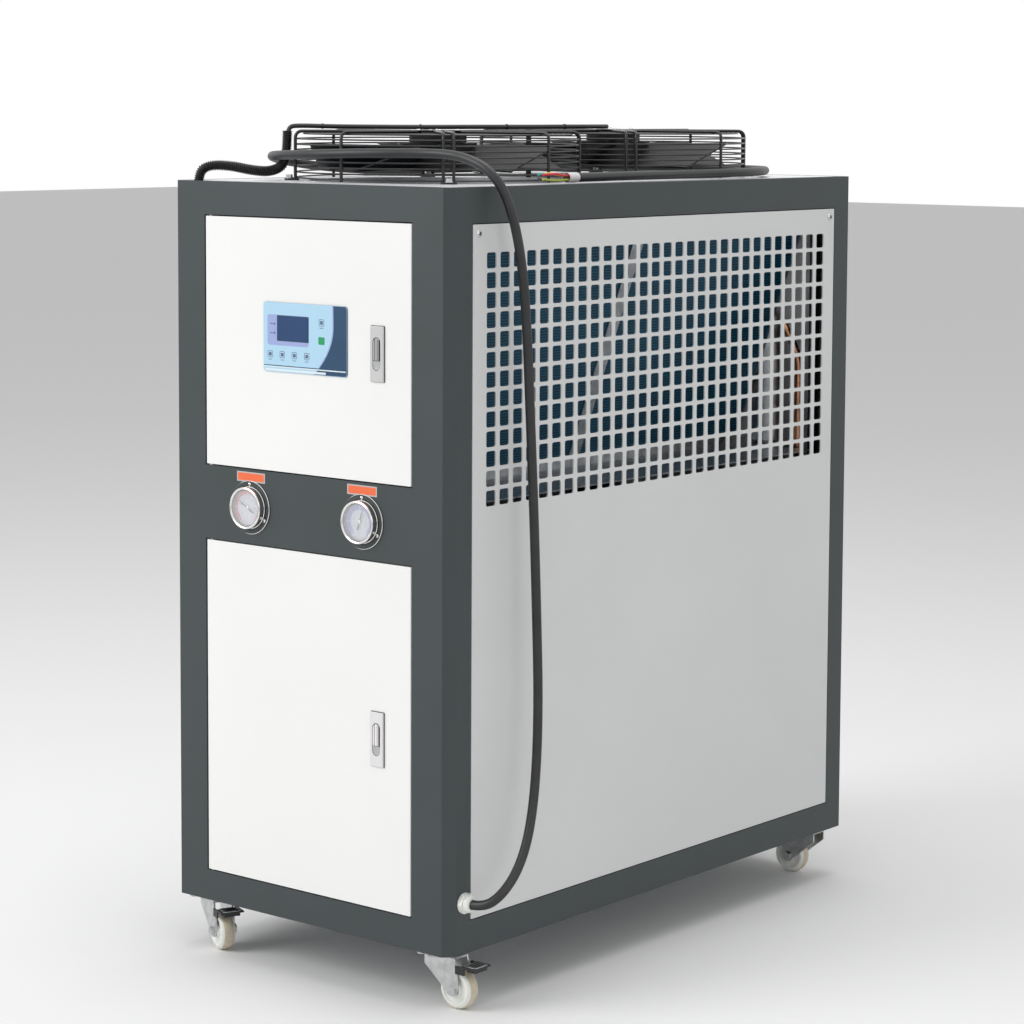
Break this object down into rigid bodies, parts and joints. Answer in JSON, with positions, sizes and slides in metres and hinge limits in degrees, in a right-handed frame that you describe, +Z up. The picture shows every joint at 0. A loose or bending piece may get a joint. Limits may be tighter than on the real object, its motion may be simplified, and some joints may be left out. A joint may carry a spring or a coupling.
{
  "type": "recirculating chiller",
  "caption": "Air-cooled recirculating chiller: steel cabinet on castors with hinged doors, side air grilles, gauges and roof fans.",
  "frame": {"origin": "on the floor under the middle of the cabinet", "axes": "+Z up, +X right as seen from the doors, +Y to the back"},
  "size_m": [0.6365, 1.068, 1.2713],
  "materials": {
    "frame_paint": "textured dark grey powder coat",
    "white_paint": "smooth white powder coat",
    "pale_paint": "smooth pale grey powder coat",
    "guard_paint": "black paint",
    "galvanised": "galvanised steel",
    "zinc": "bright zinc plating",
    "stainless": "stainless steel",
    "chrome": "satin chrome plating",
    "brass": "plain brass",
    "copper": "bare copper tube",
    "fins": "blue coated aluminium fins",
    "panel_film": "printed polyester film",
    "display_glass": "blue display window",
    "glass": "clear window",
    "black_plastic": "black moulded plastic",
    "pale_plastic": "grey moulded plastic",
    "nylon": "white nylon",
    "needle": "black needle",
    "cord_rubber": "black rubber sheath",
    "core_copper": "coloured core insulation"
  },
  "bodies": {
    "cabinet": {"cabinet_frame": "frame_paint", "base_pan": "galvanised", "roof_panel": "pale_paint", "side_panel_right": "pale_paint", "side_panel_left": "pale_paint", "rear_panel": "pale_paint", "panel_screws": "zinc", "door_pins": "zinc", "gauge_cases": "frame_paint", "gauge_glasses": "glass", "gauge_screws": "zinc", "fan_guards": "guard_paint", "fan_motors": "guard_paint", "condenser_coils": "fins", "coil_brackets": "galvanised", "mid_deck": "galvanised", "electrical_box": "galvanised", "switchgear": "pale_plastic", "compressor": "guard_paint", "water_tank": "stainless", "pump": "guard_paint", "liquid_receiver": "galvanised", "copper_line": "copper", "water_pipes": "stainless", "water_connectors": "stainless", "drain_valve": "brass", "castor_plates": "zinc", "castor_bolts": "zinc", "power_cord": "cord_rubber", "cord_cores": "core_copper", "cord_gland": "nylon", "fan_conduit": "black_plastic", "fan_lead": "cord_rubber"},
    "upper_door": {"upper_door": "white_paint", "control_panel": "panel_film", "display": "display_glass", "controller_case": "black_plastic", "upper_latch_body": "chrome"},
    "lower_door": {"lower_door": "white_paint", "lower_latch_body": "chrome"},
    "upper_latch_lever": {"upper_latch_lever": "chrome"},
    "upper_latch_button": {"upper_latch_button": "pale_plastic"},
    "lower_latch_lever": {"lower_latch_lever": "chrome"},
    "lower_latch_button": {"lower_latch_button": "pale_plastic"},
    "high_gauge_needle": {"high_gauge_needle": "needle"},
    "low_gauge_needle": {"low_gauge_needle": "needle"},
    "front_fan_rotor": {"front_fan_rotor": "guard_paint"},
    "rear_fan_rotor": {"rear_fan_rotor": "guard_paint"},
    "drain_lever": {"drain_lever": "zinc"},
    "front_right_castor": {"front_right_castor_fork": "zinc"},
    "front_right_wheel": {"front_right_castor_wheel": "nylon"},
    "front_right_pedal": {"front_right_brake_pedal": "black_plastic"},
    "front_left_castor": {"front_left_castor_fork": "zinc"},
    "front_left_wheel": {"front_left_castor_wheel": "nylon"},
    "front_left_pedal": {"front_left_brake_pedal": "black_plastic"},
    "rear_right_castor": {"rear_right_castor_fork": "zinc"},
    "rear_right_wheel": {"rear_right_castor_wheel": "nylon"},
    "rear_left_castor": {"rear_left_castor_fork": "zinc"},
    "rear_left_wheel": {"rear_left_castor_wheel": "nylon"}
  },
  "joints": [
    {"name": "upper_door_hinge", "type": "hinge", "parent": "cabinet", "child": "upper_door", "pos_m": [-0.2, -0.509, 0.946], "axis": [0, 0, -1], "range_deg": [0, 100]},
    {"name": "lower_door_hinge", "type": "hinge", "parent": "cabinet", "child": "lower_door", "pos_m": [-0.2, -0.509, 0.388], "axis": [0, 0, -1], "range_deg": [0, 100]},
    {"name": "upper_latch_pull", "type": "hinge", "parent": "upper_door", "child": "upper_latch_lever", "pos_m": [0.143, -0.517, 0.9615], "axis": [-1, 0, 0], "range_deg": [0, 35], "stiffness_Nm_per_rad": 0.05},
    {"name": "upper_latch_press", "type": "slide", "parent": "upper_door", "child": "upper_latch_button", "axis": [0, 1, 0], "range_m": [0, 0.0025], "stiffness_N_per_m": 400},
    {"name": "lower_latch_pull", "type": "hinge", "parent": "lower_door", "child": "lower_latch_lever", "pos_m": [0.143, -0.517, 0.4015], "axis": [-1, 0, 0], "range_deg": [0, 35], "stiffness_Nm_per_rad": 0.05},
    {"name": "lower_latch_press", "type": "slide", "parent": "lower_door", "child": "lower_latch_button", "axis": [0, 1, 0], "range_m": [0, 0.0025], "stiffness_N_per_m": 400},
    {"name": "high_gauge_reading", "type": "hinge", "parent": "cabinet", "child": "high_gauge_needle", "pos_m": [-0.113, -0.515, 0.7], "axis": [0, 1, 0], "range_deg": [-74, 196], "stiffness_Nm_per_rad": 0.002},
    {"name": "low_gauge_reading", "type": "hinge", "parent": "cabinet", "child": "low_gauge_needle", "pos_m": [0.113, -0.515, 0.7], "axis": [0, 1, 0], "range_deg": [-154, 116], "stiffness_Nm_per_rad": 0.002},
    {"name": "front_fan_spin", "type": "hinge", "parent": "cabinet", "child": "front_fan_rotor", "pos_m": [0, -0.2205, 1.221], "axis": [0, 0, 1], "continuous": true},
    {"name": "rear_fan_spin", "type": "hinge", "parent": "cabinet", "child": "rear_fan_rotor", "pos_m": [0, 0.2205, 1.221], "axis": [0, 0, 1], "continuous": true},
    {"name": "drain_turn", "type": "hinge", "parent": "cabinet", "child": "drain_lever", "pos_m": [0, 0.5305, 0.195], "axis": [0, 0, 1], "range_deg": [0, 90]},
    {"name": "front_right_swivel", "type": "hinge", "parent": "cabinet", "child": "front_right_castor", "pos_m": [0.234, -0.471, 0.077], "axis": [0, 0, 1], "continuous": true},
    {"name": "front_right_roll", "type": "hinge", "parent": "front_right_castor", "child": "front_right_wheel", "pos_m": [0.262, -0.471, 0.03], "axis": [0, 1, 0], "continuous": true},
    {"name": "front_right_brake", "type": "hinge", "parent": "front_right_castor", "child": "front_right_pedal", "pos_m": [0.274, -0.471, 0.06], "axis": [0, 1, 0], "range_deg": [0, 12]},
    {"name": "front_left_swivel", "type": "hinge", "parent": "cabinet", "child": "front_left_castor", "pos_m": [-0.234, -0.471, 0.077], "axis": [0, 0, 1], "continuous": true},
    {"name": "front_left_roll", "type": "hinge", "parent": "front_left_castor", "child": "front_left_wheel", "pos_m": [-0.20842, -0.48239, 0.03], "axis": [0.4067, 0.9135, 0], "continuous": true},
    {"name": "front_left_brake", "type": "hinge", "parent": "front_left_castor", "child": "front_left_pedal", "pos_m": [-0.19746, -0.48727, 0.06], "axis": [0.4067, 0.9135, 0], "range_deg": [0, 12]},
    {"name": "rear_right_swivel", "type": "hinge", "parent": "cabinet", "child": "rear_right_castor", "pos_m": [0.234, 0.471, 0.077], "axis": [0, 0, 1], "continuous": true},
    {"name": "rear_right_roll", "type": "hinge", "parent": "rear_right_castor", "child": "rear_right_wheel", "pos_m": [0.206, 0.471, 0.03], "axis": [0, -1, 0], "continuous": true},
    {"name": "rear_left_swivel", "type": "hinge", "parent": "cabinet", "child": "rear_left_castor", "pos_m": [-0.234, 0.471, 0.077], "axis": [0, 0, 1], "continuous": true},
    {"name": "rear_left_roll", "type": "hinge", "parent": "rear_left_castor", "child": "rear_left_wheel", "pos_m": [-0.26117, 0.47777, 0.03], "axis": [-0.2419, -0.9703, 0], "continuous": true}
  ]
}
